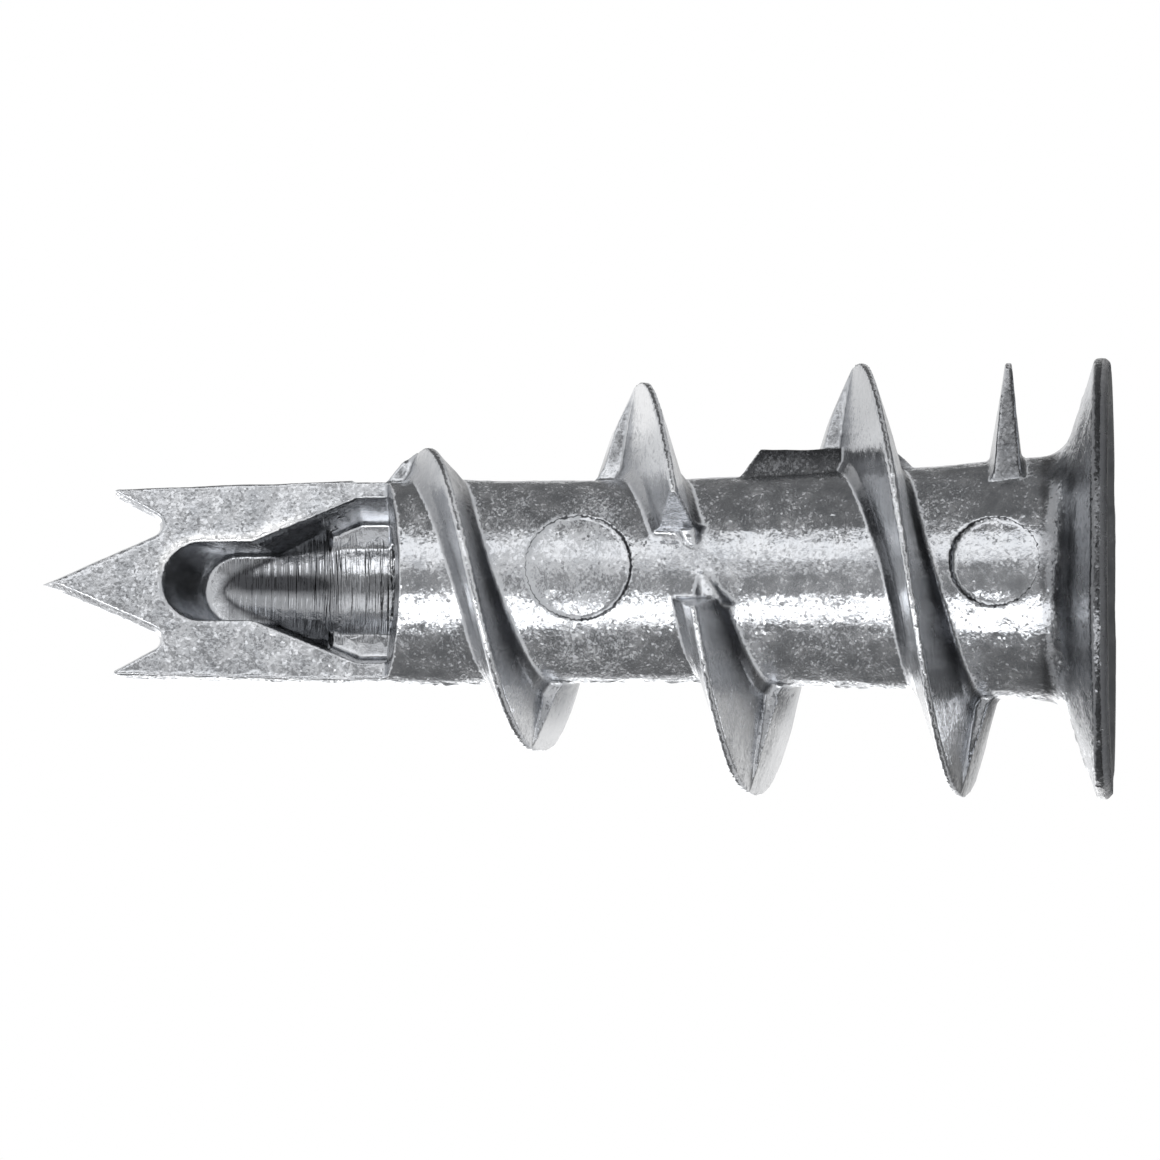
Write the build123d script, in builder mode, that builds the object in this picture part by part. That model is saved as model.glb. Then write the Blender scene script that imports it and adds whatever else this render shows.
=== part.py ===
"""Self-drilling plasterboard anchor, one zinc die casting.

The anchor stands on its head: the flange's front face lies on Z = 0 and the drill tip points up.
The two halves of the die part on the plane Y = 0. The front half, towards -Y, carries the flat face
of the drill blade and the window through which the screw leaves. All lengths are in millimetres.
"""

from build123d import *
import math
import os

# ---------------------------------------------------------------- whole casting
overall_length = 31.6          # head face to the centre point of the drill tip

# ---------------------------------------------------------------- flange and head
flange_diameter = 13.0
rim_height = 0.30              # straight edge of the flange
rim_chamfer = 0.14             # broken front corner of the rim
flange_back_angle = 18.0       # slope of the flange's back face
flare_fillet = 1.0             # fillet from the flange's back to the shank
rim_round = 0.12
dish_diameter = 10.68          # shallow dish that takes a screw head
dish_step = 0.20               # steep edge of the dish
dish_step_run = 0.12
dish_depth = 0.95
dish_floor_diameter = 5.8
socket_entry = 0.75            # cone from the dish down to the bore

# ---------------------------------------------------------------- cross recess for the driver
wing_span_mouth = 5.30
wing_span_end = 4.10
wing_width_mouth = 1.30
wing_width_end = 0.90
wing_depth = 4.6               # measured from the head face

# ---------------------------------------------------------------- shank
shank_radius = 3.01
shank_mid_radius = 3.29
shank_neck_radius = 3.66
shank_cone_start = 12.4        # heights above the head face
shank_cone_knee = 6.2
shank_neck = 2.1
bore_radius = 2.0              # screw bore, open to the blade's window

# ---------------------------------------------------------------- flight (external thread, right hand)
first_crest_height = 20.25     # where the flight passes the first crest angle
first_crest_angle = -9.5       # degrees about +Z from +X
thread_lead = 6.44
crest_radius_first = 3.95
crest_radius_full = 6.40
crest_growth_turns = 1.72      # the crest rises over this many turns
start_turns = 0.21             # run-in ahead of the first crest
start_crest_radius = 2.93      # sunk just under the shank's surface
ease_turn = 2.2                # after this turn the lead shortens towards the flange
lead_ease = 3.25
run_out_angle = 62.0           # the flight passes the parting plane by this much
end_face_offset = 2.45         # its end is cut flat, parallel to the parting plane
end_fade_turns = 0.40          # up to its last parting line it loses its relief and gets thinner
end_trim_tip = 0.11            # by this much on the tip side
end_trim_head = 0.25           # and by this much on the head side
end_blend_share = 0.4          # its flare at the root shrinks to this share
crest_land = 0.20
root_width_low = 0.84          # width of a very low flight at its root
root_width_gain = 0.17         # widening per millimetre of height
mould_relief = 0.40            # extra width on the flank that would lock in the die
back_relief = 0.54             # the same, on the tip side of the back half
back_bulge = 0.11              # that flank is fuller at half height
flank_bulge = 0.02             # the other tip-side flanks are hardly so
root_blend = 0.16              # small flare at the root
root_sink = 0.45               # the flight reaches this far into the shank
toe_sink = 0.09                # its toe starts under the shank's surface
section_step = 22.5            # degrees between loft sections

# gap in the flight where it crosses the front
gap_turn = 1.25
gap_half_width_root = 1.0
gap_flank_angle = 13.0
gap_height = 4.4
upper_nose_start = 0.55        # low noses at the foot of the two cut faces, off the axis
lower_nose_start = 0.27
nose_width_foot = 1.34
nose_width_start = 0.36
nose_rise = 0.42
nose_rise_start = 0.05

# ---------------------------------------------------------------- drill blade
blade_length = 10.23           # centre point to the root of the blade face
face_offset = 0.55             # blade face, in front of the parting plane
root_wall_draft = 11.0         # wall between the blade face and the shank
blade_radius_root = 3.03
blade_radius_tip = 2.81
blade_neck_radius = 2.98
blade_neck_length = 1.0
point_half_angle = 24.0        # outline of the teeth on the parting plane
spur_setback = 2.08            # spurs stand this far behind the centre point
spur_reach = 2.62              # spur tips off the axis
spur_inner_angle = 29.3
spur_corner = 0.45             # length of the rounded outer corner
notch_fillet = 0.25
tooth_draft = 14.0             # the sides of the teeth lean in, away from the parting plane
plate_back = 0.30              # back of the thin tooth plate, behind the parting plane
plate_length = 3.2             # centre point to the foot of the back slope
back_slope_angle = 33.0
point_bevel_length = 1.9
point_bevel_drop = 0.28

# ---------------------------------------------------------------- window in the blade
slot_half_width = 1.17
slot_end = 3.54                # centre point to the slot's rounded end
slot_floor = 1.30              # depth behind the parting plane
slot_floor_end = 4.73
slot_floor_half_width = 1.07
slot_run = 7.2
vee_start = 6.15               # centre point to where the slot opens into the vee
vee_end = 9.34
vee_half_width = 2.48
vee_draft = 12.0
ledge_floor = 1.53
ledge_length = 1.83
nose_radius = 1.27             # cone that runs on from the bore
nose_end = 5.15
nose_shoulder = 8.75
window_clearance = 0.03        # the vee stays inside the slot where they overlap

# ---------------------------------------------------------------- traces of the die
blade_pin_diameter = 3.1
blade_pin_height = 15.6
blade_pin_depth_tip = 0.03     # the pins' faces sit at a slight tilt
blade_pin_depth_head = 0.13
head_pin_diameter = 2.62
head_pin_height = 3.35
head_pin_depth_tip = 0.15
head_pin_depth_head = 0.06
pin_reach = 4.2
gate_radius = 3.86
gate_start = 10.9
gate_slope = 0.55
gate_end = 5.88
gate_top_width = 1.0
gate_foot_width = 1.8

# ================================================================ derived heights
tip = overall_length
blade_root = tip - blade_length
cutter_size = 40.0             # larger than the casting
flange_radius = flange_diameter / 2
flange_back = rim_chamfer + rim_height
back_rise = math.tan(math.radians(flange_back_angle))
wall_lean = math.tan(math.radians(root_wall_draft))
vee_lean = math.tan(math.radians(vee_draft))


def shank_radius_at(height):
    """Outer radius of the bare shank: a cylinder that widens towards the flange in two cones."""
    if height >= shank_cone_start:
        return shank_radius
    if height >= shank_cone_knee:
        share = (shank_cone_start - height) / (shank_cone_start - shank_cone_knee)
        return shank_radius + share * (shank_mid_radius - shank_radius)
    share = (shank_cone_knee - height) / (shank_cone_knee - shank_neck)
    return shank_mid_radius + min(share, 1.0) * (shank_neck_radius - shank_mid_radius)


def crest_height_at(turn):
    """Height of the crest, with a lead that shortens near the flange."""
    eased = max(0.0, turn - ease_turn)
    return first_crest_height - thread_lead * turn + lead_ease * eased**2


def crest_radius_at(turn):
    """Radius of the crest: a short run-in, a quarter-sine rise and a full-height stretch."""
    rise = crest_radius_full - crest_radius_first
    slope = rise * math.pi / 2 / crest_growth_turns
    if turn < 0:
        sag = crest_radius_first - slope * start_turns - start_crest_radius
        return crest_radius_first + slope * turn - sag * (turn / start_turns) ** 2
    share = min(1.0, turn / crest_growth_turns)
    return crest_radius_first + rise * math.sin(share * math.pi / 2)


# ================================================================ core: tip, shank and flange
with BuildPart() as core:
    with BuildSketch(Plane.XZ) as core_profile:
        with BuildLine() as core_line:
            Polyline(
                (0, 0),
                (flange_radius - rim_chamfer, 0),
                (flange_radius, rim_chamfer),
                (flange_radius, flange_back),
                (shank_neck_radius, flange_back + (flange_radius - shank_neck_radius) * back_rise),
                (shank_mid_radius, shank_cone_knee),
                (shank_radius, shank_cone_start),
                (shank_radius, blade_root - wall_lean * shank_radius),
                (blade_neck_radius, blade_root),
                (blade_neck_radius, blade_root + blade_neck_length),
                (blade_radius_root, blade_root + blade_neck_length + 0.05),
                (blade_radius_tip, tip - spur_setback),
                (blade_radius_tip, tip),
                (0, tip),
                close=True,
            )
        make_face()
        flare_corner = core_profile.vertices().group_by(Axis.Y)[3]
        fillet(flare_corner, flare_fillet)
        rim_corner = core_profile.vertices().group_by(Axis.X)[-1].sort_by(Axis.Y)[-1]
        fillet(rim_corner, rim_round)
    revolve(axis=Axis.Z)

# ================================================================ flight
with BuildPart() as flight:
    # each half turn lies in one half of the die, from parting plane to parting plane
    first_parting = first_crest_angle / 360
    last_parting = first_parting + 3
    for half in range(-1, 7):
        half_start = first_parting + 0.5 * half
        span_start = max(half_start, -start_turns)
        span_end = min(half_start + 0.5, last_parting + run_out_angle / 360)
        steps = max(3, math.ceil((span_end - span_start) * 360 / section_step))
        with BuildPart() as half_turn:
            for step in range(steps + 1):
                turn = span_start + (span_end - span_start) * step / steps
                angle = math.radians(first_crest_angle - 360 * turn)
                crest_z = crest_height_at(turn)
                crest_r = crest_radius_at(turn)
                height = max(0.08, crest_r - shank_radius_at(crest_z))
                base_r = crest_r - height
                half_root = (root_width_low + root_width_gain * height) / 2
                fade = min(1.0, max(0.0, (turn - last_parting) / end_fade_turns + 1.0))
                blend = root_blend * min(1.0, height) * (1 - (1 - end_blend_share) * fade)
                swing = min(1.0, height) * math.cos(angle) ** 2
                early = turn < half_start + 0.25
                back_half = half % 2 != 0
                relief = mould_relief * swing * (1 - fade)
                tip_relief = back_relief * swing * (1 - fade) if back_half else relief
                bulge = flank_bulge * min(1.0, height)
                if back_half and not early:
                    bulge += (back_bulge - flank_bulge) * swing * (1 - fade)
                tip_half = half_root - end_trim_tip * fade
                head_half = half_root - end_trim_head * fade
                towards_tip = tip_half if early else tip_half + tip_relief
                towards_head = head_half + relief if early else head_half
                mid_r = base_r + height / 2 + blend
                mid_tip = (towards_tip - blend + crest_land / 2) / 2 + bulge
                radial = (math.cos(angle), math.sin(angle), 0)
                across = (math.sin(angle), -math.cos(angle), 0)
                section_plane = Plane(origin=(0, 0, crest_z), x_dir=radial, z_dir=across)
                with BuildSketch(section_plane):
                    with BuildLine():
                        Polyline(
                            (base_r - root_sink, -towards_head - blend),
                            (base_r - toe_sink, -towards_head - blend),
                            (base_r + 2 * blend, -towards_head + blend),
                            (crest_r, -crest_land / 2),
                            (crest_r, crest_land / 2),
                            (mid_r, mid_tip),
                            (base_r + 2 * blend, towards_tip - blend),
                            (base_r - toe_sink, towards_tip + blend),
                            (base_r - root_sink, towards_tip + blend),
                            close=True,
                        )
                    make_face()
            loft()
        add(half_turn.part)

    # the run-out ends in a flat face, parallel to the parting plane
    with Locations((0, -end_face_offset, crest_height_at(span_end))):
        Box(
            cutter_size,
            cutter_size,
            thread_lead * 0.4,
            align=(Align.CENTER, Align.MAX, Align.CENTER),
            mode=Mode.SUBTRACT,
        )

    # gap where the flight crosses the front: a vee that widens outwards
    gap_half_width = gap_half_width_root + gap_height * math.tan(math.radians(gap_flank_angle))
    with BuildSketch(Plane.XY.offset(crest_height_at(gap_turn) - thread_lead / 3)):
        with BuildLine():
            Polyline(
                (-gap_half_width_root, -shank_radius + 0.1),
                (gap_half_width_root, -shank_radius + 0.1),
                (gap_half_width, -shank_radius - gap_height),
                (-gap_half_width, -shank_radius - gap_height),
                close=True,
            )
        make_face()
    extrude(amount=thread_lead * 2 / 3, mode=Mode.SUBTRACT)

    # low tapering noses run from the two cut faces towards the middle of the gap
    gap_angle = math.radians(first_crest_angle - 360 * gap_turn + 360 + 90)
    for side, nose_start in ((1, upper_nose_start), (-1, lower_nose_start)):
        with BuildPart(mode=Mode.PRIVATE) as gap_nose:
            for reach, width, rise in (
                (nose_start, nose_width_start, nose_rise_start),
                (gap_half_width_root + 0.2, nose_width_foot, nose_rise),
            ):
                turned = math.asin(-side * reach / shank_radius) - gap_angle
                middle = crest_height_at(gap_turn + turned / math.tau)
                surface = math.sqrt(shank_radius_at(middle) ** 2 - reach**2)
                with BuildSketch(Plane((side * reach, 0, 0), x_dir=(0, 0, 1), z_dir=(1, 0, 0))):
                    with BuildLine():
                        Polyline(
                            (middle - width / 2, surface - root_sink),
                            (middle - width / 2, surface),
                            (middle - width / 5, surface + rise),
                            (middle + width / 5, surface + rise),
                            (middle + width / 2, surface),
                            (middle + width / 2, surface - root_sink),
                            close=True,
                        )
                    make_face()
            loft()
        add(gap_nose.part)

# ================================================================ gate stub on the parting line
with BuildPart() as gate:
    gate_sink = shank_radius - root_sink
    end_slope = gate_radius - shank_mid_radius
    with BuildSketch(Plane.XZ) as gate_side:
        with BuildLine():
            Polyline(
                (gate_sink, gate_start),
                (shank_radius, gate_start),
                (gate_radius, gate_start - gate_slope),
                (gate_radius, gate_end + end_slope),
                (shank_mid_radius, gate_end),
                (gate_sink, gate_end),
                close=True,
            )
        make_face()
    extrude(amount=gate_foot_width / 2, both=True)
    with BuildSketch(Plane.XY) as gate_end_on:
        with BuildLine():
            Polyline(
                (gate_sink, -gate_foot_width / 2),
                (shank_radius, -gate_foot_width / 2),
                (gate_radius, -gate_top_width / 2),
                (gate_radius, gate_top_width / 2),
                (shank_radius, gate_foot_width / 2),
                (gate_sink, gate_foot_width / 2),
                close=True,
            )
        make_face()
    extrude(amount=cutter_size, mode=Mode.INTERSECT)

# ================================================================ window insert: what the slot, vee and nose cut away
with BuildPart() as nose:
    with BuildSketch(Plane.XZ):
        with BuildLine():
            Polyline(
                (0, blade_root - 1),
                (bore_radius, blade_root - 1),
                (bore_radius, tip - nose_shoulder),
                (nose_radius, tip - nose_end),
                (0, tip - nose_end),
                close=True,
            )
        make_face()
    revolve(axis=Axis.Z)
    with Locations((0, 0, blade_root)):
        Box(
            2 * shank_radius,
            shank_radius,
            blade_length,
            align=(Align.CENTER, Align.MAX, Align.MIN),
        )
        Box(
            2 * shank_radius,
            2 * ledge_floor,
            ledge_length,
            align=(Align.CENTER, Align.CENTER, Align.MIN),
        )

with BuildPart() as vee:
    vee_foot = blade_root - 0.4
    straight = slot_half_width - window_clearance
    floor_inset = vee_lean * (face_offset + bore_radius)
    for depth, inset in ((-face_offset - 0.5, -vee_lean * 0.5), (bore_radius, floor_inset)):
        with BuildSketch(Plane((0, depth, 0), x_dir=(1, 0, 0), z_dir=(0, -1, 0))):
            with BuildLine():
                Polyline(
                    (-vee_half_width + inset, vee_foot),
                    (-vee_half_width + inset, tip - vee_end),
                    (-straight + inset, tip - vee_start),
                    (-straight + inset, tip - nose_end),
                    (straight - inset, tip - nose_end),
                    (straight - inset, tip - vee_start),
                    (vee_half_width - inset, tip - vee_end),
                    (vee_half_width - inset, vee_foot),
                    close=True,
                )
            make_face()
    loft(ruled=True)
    add(nose.part, mode=Mode.INTERSECT)

with BuildPart() as slot:
    for depth, half_width, end in (
        (-face_offset, slot_half_width, slot_end),
        (slot_floor, slot_floor_half_width, slot_floor_end),
    ):
        with BuildSketch(Plane((0, depth, 0), x_dir=(1, 0, 0), z_dir=(0, -1, 0))):
            with BuildLine():
                left = (-half_width, tip - end - half_width)
                right = (half_width, tip - end - half_width)
                ThreePointArc(left, (0, tip - end), right)
                Line(right, (half_width, tip - slot_run))
                Line((half_width, tip - slot_run), (-half_width, tip - slot_run))
                Line((-half_width, tip - slot_run), left)
            make_face()
    loft(ruled=True)

# ================================================================ gaps between the teeth, drafted both ways
point_angle = math.radians(point_half_angle)
spur_angle = math.radians(spur_inner_angle)
corner_run = blade_radius_tip - spur_reach
gap_depth = face_offset + slot_floor
with BuildPart() as tooth_gaps:
    for towards in (1, -1):
        with BuildPart() as half_gap:
            for depth in (0, gap_depth):
                lean = depth * math.tan(math.radians(tooth_draft))
                apex = tip - lean / math.sin(point_angle)
                spur_x = spur_reach + lean * math.cos(spur_angle)
                spur_z = tip - spur_setback - lean * math.sin(spur_angle)
                run = apex * math.tan(point_angle) + spur_z * math.tan(spur_angle) - spur_x
                notch_z = run / (math.tan(point_angle) + math.tan(spur_angle))
                notch_x = (apex - notch_z) * math.tan(point_angle)
                outline_plane = Plane((0, towards * depth, 0), x_dir=(1, 0, 0), z_dir=(0, -1, 0))
                with BuildSketch(outline_plane) as outline:
                    with BuildLine():
                        Polyline(
                            (0, tip + 2),
                            (0, apex),
                            (notch_x, notch_z),
                            (spur_x, spur_z),
                        )
                        ThreePointArc(
                            (spur_x, spur_z),
                            (spur_x + 0.75 * corner_run, spur_z - spur_corner * 0.4),
                            (spur_x + corner_run, spur_z - spur_corner),
                        )
                        Polyline(
                            (spur_x + corner_run, spur_z - spur_corner),
                            (flange_radius, spur_z - spur_corner),
                            (flange_radius, tip + 2),
                            (0, tip + 2),
                        )
                    make_face()
                    fillet(outline.vertices().sort_by(Axis.Y)[0], notch_fillet + lean)
                    mirror(about=Plane.YZ)
            loft(ruled=True)
        add(half_gap.part)

# ================================================================ the casting
with BuildPart() as anchor:
    add(core.part)
    add(flight.part)
    add(gate.part)

    # flat face of the blade, with the leaning wall at its root
    with BuildSketch(Plane.YZ):
        with BuildLine():
            Polyline(
                (-face_offset, tip + 1),
                (-face_offset, blade_root),
                (-face_offset - 2 * shank_radius, blade_root - 2 * shank_radius * wall_lean),
                (-face_offset - 2 * shank_radius, tip + 1),
                close=True,
            )
        make_face()
    extrude(amount=flange_radius, both=True, mode=Mode.SUBTRACT)

    # back of the tip: a slope down to the thin tooth plate, then a bevel at the centre point
    slope_run = math.tan(math.radians(back_slope_angle)) * shank_radius
    with BuildSketch(Plane.YZ):
        with BuildLine():
            Polyline(
                (plate_back + shank_radius, tip - plate_length - slope_run),
                (plate_back, tip - plate_length),
                (plate_back, tip - point_bevel_length),
                (plate_back - point_bevel_drop, tip),
                (plate_back - point_bevel_drop, tip + 1),
                (plate_back + shank_radius, tip + 1),
                close=True,
            )
        make_face()
    extrude(amount=flange_radius, both=True, mode=Mode.SUBTRACT)

    # teeth: a centre point between two spurs
    add(tooth_gaps.part, mode=Mode.SUBTRACT)

    # window
    add(vee.part, mode=Mode.SUBTRACT)
    add(slot.part, mode=Mode.SUBTRACT)

    # screw bore, dish and socket, cut from the head
    with BuildSketch(Plane.XZ):
        with BuildLine():
            dish_floor_r = dish_floor_diameter / 2
            Polyline(
                (0, -1),
                (dish_diameter / 2, -1),
                (dish_diameter / 2, 0),
                (dish_diameter / 2 - dish_step_run, dish_step),
                (dish_floor_r, dish_depth),
                (bore_radius, dish_depth + socket_entry),
                (bore_radius, blade_root + 0.2),
                (0, blade_root + 0.2),
                close=True,
            )
        make_face()
    revolve(axis=Axis.Z, mode=Mode.SUBTRACT)

    # cross recess: two crossing wings that narrow inwards
    for turned in (0, 90):
        with BuildPart(mode=Mode.PRIVATE) as wing:
            with BuildSketch(Plane.XY.offset(dish_step)):
                Rectangle(wing_span_mouth, wing_width_mouth, rotation=turned)
            with BuildSketch(Plane.XY.offset(wing_depth)):
                Rectangle(wing_span_end, wing_width_end, rotation=turned)
            loft(ruled=True)
        add(wing.part, mode=Mode.SUBTRACT)

    # faint round marks of the two ejector pins on the front
    for pin_diameter, pin_height, depth_tip, depth_head in (
        (blade_pin_diameter, blade_pin_height, blade_pin_depth_tip, blade_pin_depth_head),
        (head_pin_diameter, head_pin_height, head_pin_depth_tip, head_pin_depth_head),
    ):
        pin_radius = pin_diameter / 2
        face_r_tip = shank_radius_at(pin_height + pin_radius) - depth_tip
        face_r_head = shank_radius_at(pin_height - pin_radius) - depth_head
        with BuildPart(mode=Mode.PRIVATE) as pin_mark:
            with Locations(Location((0, 0, pin_height), (90, 0, 0))):
                Cylinder(pin_radius, pin_reach, align=(Align.CENTER, Align.CENTER, Align.MIN))
            with Locations((0, 0, pin_height)):
                Cone(
                    1.5 * face_r_head - 0.5 * face_r_tip,
                    1.5 * face_r_tip - 0.5 * face_r_head,
                    2 * pin_diameter,
                    mode=Mode.SUBTRACT,
                )
        add(pin_mark.part, mode=Mode.SUBTRACT)

anchor.part.label = "anchor"
os.makedirs("parts", exist_ok=True)
export_step(anchor.part, "parts/anchor.step")
print("volume", round(anchor.part.volume, 1), "solids", len(anchor.solids()))
print("valid", anchor.part.is_valid, anchor.part.bounding_box())
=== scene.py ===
# %% [markdown]
# # A die-cast plasterboard anchor
#
# The part is one zinc die casting: a drill tip with three teeth, a shank with a coarse flight wound
# round it, and a flange with a shallow dish. The solid model has its exact shape. This lesson gives it
# the skin of a real casting: edges that the die leaves soft, a fine seam where the die halves met, a
# crust of frozen grains and bright zinc, with shade in the corners and some highlights painted into its
# colour.

import math

import bpy
import numpy as np
from mathutils import Matrix, Vector


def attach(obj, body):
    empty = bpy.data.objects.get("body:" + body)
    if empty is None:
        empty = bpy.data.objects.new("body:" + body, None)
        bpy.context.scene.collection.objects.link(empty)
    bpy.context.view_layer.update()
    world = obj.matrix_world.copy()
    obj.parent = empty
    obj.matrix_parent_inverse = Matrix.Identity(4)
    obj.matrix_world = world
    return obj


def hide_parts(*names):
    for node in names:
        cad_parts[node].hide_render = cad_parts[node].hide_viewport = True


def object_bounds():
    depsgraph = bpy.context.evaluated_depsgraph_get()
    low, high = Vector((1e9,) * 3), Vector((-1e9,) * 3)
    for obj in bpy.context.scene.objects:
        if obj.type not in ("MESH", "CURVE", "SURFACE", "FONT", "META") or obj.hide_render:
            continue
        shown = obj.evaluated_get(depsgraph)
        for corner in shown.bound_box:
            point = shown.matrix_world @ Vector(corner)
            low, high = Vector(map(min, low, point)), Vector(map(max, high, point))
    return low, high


MM = 0.001
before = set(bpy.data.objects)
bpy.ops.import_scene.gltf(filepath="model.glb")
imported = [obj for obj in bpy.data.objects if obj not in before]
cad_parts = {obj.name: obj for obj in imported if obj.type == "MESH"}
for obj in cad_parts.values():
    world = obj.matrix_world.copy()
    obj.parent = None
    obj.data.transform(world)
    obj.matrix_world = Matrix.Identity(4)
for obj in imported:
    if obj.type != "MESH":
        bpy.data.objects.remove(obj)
cad_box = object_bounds()
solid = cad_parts["anchor"]
TIP = round(cad_box[1][2] / MM, 2)
FLANGE_RADIUS = round(cad_box[1][0] / MM, 2)
print("the solid is", TIP, "mm long and", 2 * FLANGE_RADIUS, "mm across its flange")

# %% [markdown]
# ## Camera
#
# The anchor stands on its head, and the camera looks at the flat face of the blade, turned a little
# round the axis and a little towards the head. It could be placed by hand with a Track To
# constraint. Here its three axes are worked out, which keeps the anchor lying level across the
# picture. A long lens from half a metre keeps the flight from growing towards the lens.

# %% The camera's three axes
ROLL = math.radians(9.5)
YAW = math.radians(3.0)
towards_camera = Vector((-math.sin(ROLL), -math.cos(ROLL), 0))
picture_up = Vector((math.cos(ROLL), -math.sin(ROLL), 0))
back = (towards_camera * math.cos(YAW) - Vector((0, 0, 1)) * math.sin(YAW)).normalized()
right = (Vector((0, 0, -1)) + back * back.z).normalized()
up = back.cross(right)

# %% Place the camera
DISTANCE = 0.5
VIEW_WIDTH = 34.2688 * MM
LEAN = math.radians(-0.31226)
SHIFT = (0.00293, 0.00181)
middle_of_part = Vector((0, 0, TIP / 2 * MM))

camera_data = bpy.data.cameras.new("camera")
camera_data.sensor_width = 36
camera_data.lens = camera_data.sensor_width * DISTANCE / VIEW_WIDTH
camera_data.shift_x, camera_data.shift_y = SHIFT
camera_data.clip_start = 0.01
camera_data.clip_end = 5
camera = bpy.data.objects.new("camera", camera_data)
axes = Matrix((right, up, back)).transposed().to_4x4()
camera_place = Matrix.Translation(middle_of_part + back * DISTANCE)
camera.matrix_world = camera_place @ axes @ Matrix.Rotation(LEAN, 4, "Z")
bpy.context.scene.collection.objects.link(camera)
bpy.context.scene.camera = camera
print("lens of", round(camera_data.lens), "mm at", DISTANCE, "m")

# %% [markdown]
# ## Room
#
# The room is plain white at a strength of 1, so that a colour looks as it is written. A picture of a
# studio would give richer reflections, but it would be a file, and the lamps and cards further down
# give the few large shapes that metal needs.

# %% White room
world = bpy.data.worlds.new("white room")
world.use_nodes = True
world.node_tree.nodes["Background"].inputs["Color"].default_value = (1, 1, 1, 1)
world.node_tree.nodes["Background"].inputs["Strength"].default_value = 1.0
bpy.context.scene.world = world
bpy.context.scene.view_settings.view_transform = "Standard"

# %% [markdown]
# ## Floor
#
# The floor is a pale sheet of paper under the head. The camera of the first view is just below that
# sheet, so the sheet's underside is clear: a Geometry node's Backfacing output picks the clear
# shader there. Leaving the floor out would be simpler, but then nothing would catch the shadow in
# the other views. The sheet has a hole where the flange covers it, so that light from below reaches
# the head in the first view.


# %% Helper: a shader node
def add_node(tree, kind, at=(0, 0), **values):
    """One shader node, with its sockets and settings filled in by name."""
    node = tree.nodes.new(kind)
    node.location = at
    for name, value in values.items():
        if name in node.inputs:
            node.inputs[name].default_value = value
        else:
            setattr(node, name, value)
    return node


# %% Helper: a flat ring
def ring_mesh(name, inner, outer, height, steps=96):
    """A flat ring: cosine and sine of each angle, times the inner radius and times the outer one."""
    turn = np.linspace(0, 2 * math.pi, steps, endpoint=False)
    circle = np.stack([np.cos(turn), np.sin(turn), np.zeros(steps)], axis=1)
    corners = np.concatenate([circle * inner, circle * outer]) + (0, 0, height)
    here = np.arange(steps)
    after = (here + 1) % steps
    faces = np.stack([here, here + steps, after + steps, after], axis=1)
    mesh = bpy.data.meshes.new(name)
    mesh.from_pydata(corners.tolist(), [], faces.tolist())
    return mesh


# %% Paper that is clear from below
paper = bpy.data.materials.new("pale paper")
paper.use_nodes = True
paper.node_tree.nodes.clear()
top_side = add_node(paper.node_tree, "ShaderNodeBsdfDiffuse", (-200, 100), Color=(0.80, 0.80, 0.80, 1))
under_side = add_node(paper.node_tree, "ShaderNodeBsdfTransparent", (-200, -60))
pick_side = add_node(paper.node_tree, "ShaderNodeMixShader", (0, 0))
which_side = add_node(paper.node_tree, "ShaderNodeNewGeometry", (-200, 320))
paper_out = add_node(paper.node_tree, "ShaderNodeOutputMaterial", (200, 0))
paper.node_tree.links.new(which_side.outputs["Backfacing"], pick_side.inputs["Fac"])
paper.node_tree.links.new(top_side.outputs[0], pick_side.inputs[1])
paper.node_tree.links.new(under_side.outputs[0], pick_side.inputs[2])
paper.node_tree.links.new(pick_side.outputs[0], paper_out.inputs["Surface"])

# %% Floor
FLOOR_EDGE = 0.8
FLOOR_HEIGHT = -0.02 * MM
floor_hole = 0.96 * FLANGE_RADIUS * MM
floor = bpy.data.objects.new("floor", ring_mesh("floor", floor_hole, FLOOR_EDGE, FLOOR_HEIGHT))
floor.data.materials.append(paper)
bpy.context.scene.collection.objects.link(floor)
print("floor of", 2 * FLOOR_EDGE, "m with a hole of", round(2 * floor_hole / MM, 1), "mm")

# %% [markdown]
# ## Lamps
#
# Bare metal shows little but its surroundings, so a white room alone makes it look flat. Two tall
# soft lamps give the two long highlights on the shank, and a third one behind lights the far flanks
# of the flight. Small lamps would give thin hard lines. Area lamps that are much taller than the
# part give highlights that run past both of its ends.


# %% Helper: a tall lamp
def tall_lamp(name, angle, width, level, reach=0.34, height=0.60):
    """A tall lamp that faces the part. Its power is its level times pi times its area.

    The angle round the part, in degrees, is 0 towards the camera and grows picture-up. Level 1 is as
    bright as the white room.
    """
    turn = math.radians(angle)
    way = towards_camera * math.cos(turn) + picture_up * math.sin(turn)
    lamp = bpy.data.lights.new(name, "AREA")
    lamp.shape = "RECTANGLE"
    lamp.size = width
    lamp.size_y = height
    lamp.energy = level * math.pi * width * height
    holder = bpy.data.objects.new(name, lamp)
    holder.rotation_euler = way.to_track_quat("Z", "Y").to_euler()
    holder.location = way * reach + middle_of_part
    bpy.context.scene.collection.objects.link(holder)
    print(name, "at", angle, "degrees:", round(lamp.energy, 2), "W")


# %% Three lamps
tall_lamp("upper lamp", 38, 0.120, 0.80)
tall_lamp("lower lamp", -33, 0.138, 2.70)
tall_lamp("back lamp", -160, 0.120, 1.70)

# %% [markdown]
# ## Dark cards
#
# Beside a metal part a studio stands dark cards, because their reflections are what makes round
# metal look round. As solid things they would also shade the part and the floor. Here only
# reflections see them, so they hide nothing and throw no shadow. Three are pieces of a tube round
# the part and one is a disc under it, each of one grey that needs no light.


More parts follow.
